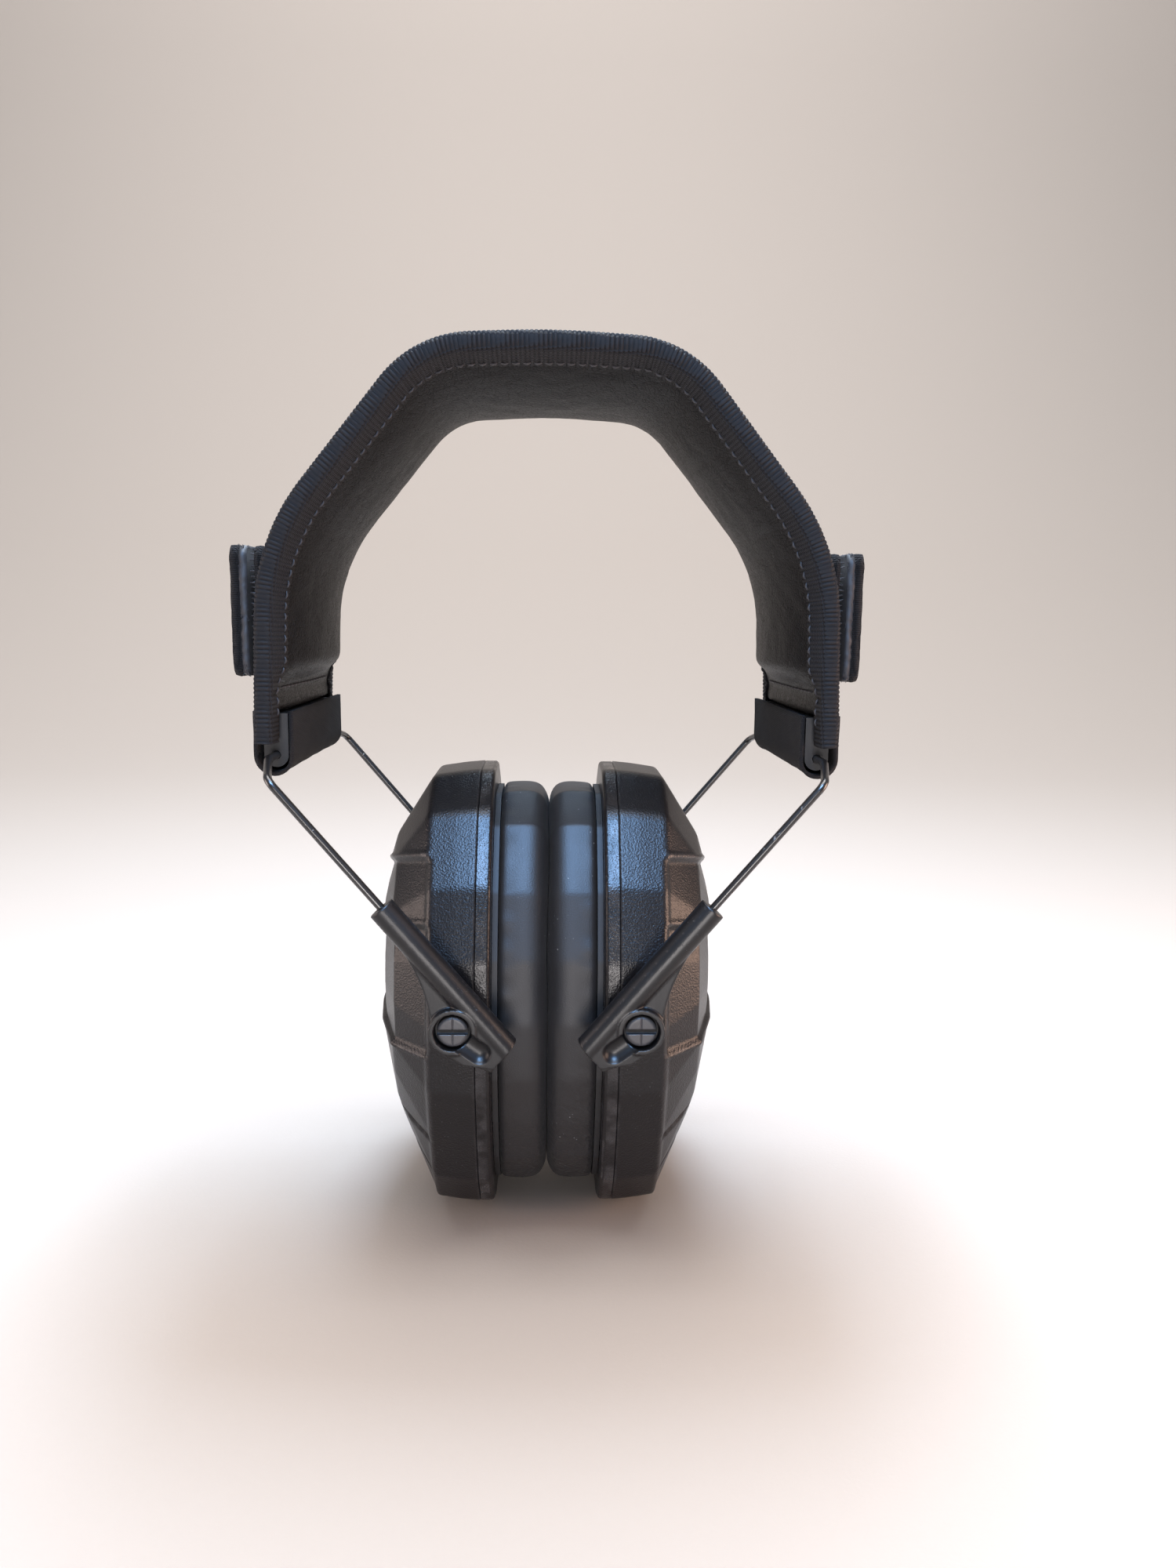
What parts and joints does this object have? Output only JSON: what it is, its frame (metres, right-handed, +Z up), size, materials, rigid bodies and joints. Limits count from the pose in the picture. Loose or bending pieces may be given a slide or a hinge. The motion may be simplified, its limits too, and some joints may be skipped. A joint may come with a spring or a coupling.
{
  "type": "hearing protection earmuffs",
  "caption": "Passive hearing protection earmuffs: padded spring headband, sliding wire yokes, swivelling oval cups with soft cushions, and hook-and-loop patches on the band.",
  "frame": {"origin": "on the ground plane under the middle of the muffs, where both upright cups reach lowest", "axes": "+Z up as worn, +X to the wearer's one side with the right-named pieces, +Y to the rear"},
  "size_m": [0.1338, 0.0888, 0.1987],
  "materials": {
    "spring_steel": "thin sprung strip",
    "pad_foam": "soft closed-cell foam",
    "cover_leatherette": "fine-grained soft leatherette, black",
    "binding_tape": "ribbed grosgrain tape, black",
    "end_fabric": "woven polyester, black",
    "clip_plastic": "moulded, black",
    "rivet_steel": "plain",
    "hook_tape": "hook side of hook-and-loop tape, black",
    "loop_tape": "loop side with a woven back, black",
    "wire_steel": "black coated spring wire",
    "ferrule_steel": "pressed",
    "arm_plastic": "moulded, fine satin, black",
    "screw_steel": "blackened, slotted",
    "washer_nylon": "plain nylon",
    "shell_plastic": "moulded, fine pebbled grain, black",
    "ring_plastic": "moulded, fine pebbled grain, black",
    "liner_foam": "open-cell acoustic foam",
    "plate_plastic": "moulded",
    "cushion_foam": "soft open-cell foam",
    "cushion_vinyl": "smooth soft vinyl, black"
  },
  "bodies": {
    "headband": {"band_spring": "spring_steel", "band_foam": "pad_foam", "band_inner_cover": "cover_leatherette", "band_outer_cover": "cover_leatherette", "front_binding": "binding_tape", "rear_binding": "binding_tape", "clip_rivets": "rivet_steel", "left_end_clip": "clip_plastic", "left_end_tab": "end_fabric", "left_patch_base": "hook_tape", "right_end_clip": "clip_plastic", "right_end_tab": "end_fabric", "right_patch_base": "hook_tape"},
    "left_patch": {"left_patch": "loop_tape"},
    "left_yoke": {"left_yoke_wire": "wire_steel", "left_wire_ferrules": "ferrule_steel"},
    "left_arms": {"left_front_arm": "arm_plastic", "left_rear_arm": "arm_plastic"},
    "left_swivel": {"left_pivot_screws": "screw_steel", "left_pivot_washers": "washer_nylon"},
    "left_cup": {"left_cup_shell": "shell_plastic", "left_base_ring": "ring_plastic", "left_shell_screws": "screw_steel", "left_foam_liner": "liner_foam", "left_cushion_plate": "plate_plastic", "left_cushion_foam": "cushion_foam", "left_cushion_skin": "cushion_vinyl"},
    "right_patch": {"right_patch": "loop_tape"},
    "right_yoke": {"right_yoke_wire": "wire_steel", "right_wire_ferrules": "ferrule_steel"},
    "right_arms": {"right_front_arm": "arm_plastic", "right_rear_arm": "arm_plastic"},
    "right_swivel": {"right_pivot_screws": "screw_steel", "right_pivot_washers": "washer_nylon"},
    "right_cup": {"right_cup_shell": "shell_plastic", "right_base_ring": "ring_plastic", "right_shell_screws": "screw_steel", "right_foam_liner": "liner_foam", "right_cushion_plate": "plate_plastic", "right_cushion_foam": "cushion_foam", "right_cushion_skin": "cushion_vinyl"}
  },
  "joints": [
    {"name": "left_patch_peel", "type": "slide", "parent": "headband", "child": "left_patch", "axis": [-1, 0, 0], "range_m": [0, 0.008]},
    {"name": "left_yoke_swing", "type": "hinge", "parent": "headband", "child": "left_yoke", "pos_m": [-0.0586, 0, 0.112], "axis": [0, 1, 0], "range_deg": [0, 55]},
    {"name": "left_arm_slide", "type": "slide", "parent": "left_yoke", "child": "left_arms", "axis": [-0.6455, 0, 0.7638], "range_m": [0, 0.014]},
    {"name": "left_cup_align", "type": "hinge", "parent": "left_arms", "child": "left_swivel", "pos_m": [-0.01957, 0, 0.05713], "axis": [0, 1, 0], "range_deg": [-55, 0]},
    {"name": "left_cup_tilt", "type": "hinge", "parent": "left_swivel", "child": "left_cup", "pos_m": [-0.01957, 0, 0.05713], "axis": [0, 1, 0], "range_deg": [-10, 10], "deforming": ["left_cushion_skin", "left_cushion_foam"]},
    {"name": "right_patch_peel", "type": "slide", "parent": "headband", "child": "right_patch", "axis": [1, 0, 0], "range_m": [0, 0.008]},
    {"name": "right_yoke_swing", "type": "hinge", "parent": "headband", "child": "right_yoke", "pos_m": [0.0586, 0, 0.112], "axis": [0, -1, 0], "range_deg": [0, 55]},
    {"name": "right_arm_slide", "type": "slide", "parent": "right_yoke", "child": "right_arms", "axis": [0.6455, 0, 0.7638], "range_m": [0, 0.014]},
    {"name": "right_cup_align", "type": "hinge", "parent": "right_arms", "child": "right_swivel", "pos_m": [0.01957, 0, 0.05713], "axis": [0, -1, 0], "range_deg": [-55, 0]},
    {"name": "right_cup_tilt", "type": "hinge", "parent": "right_swivel", "child": "right_cup", "pos_m": [0.01957, 0, 0.05713], "axis": [0, -1, 0], "range_deg": [-10, 10], "deforming": ["right_cushion_skin", "right_cushion_foam"]}
  ],
  "couplings": [
    {"joint": "left_cup_align", "follows": "left_yoke_swing", "ratio": -1},
    {"joint": "right_cup_align", "follows": "right_yoke_swing", "ratio": -1}
  ]
}
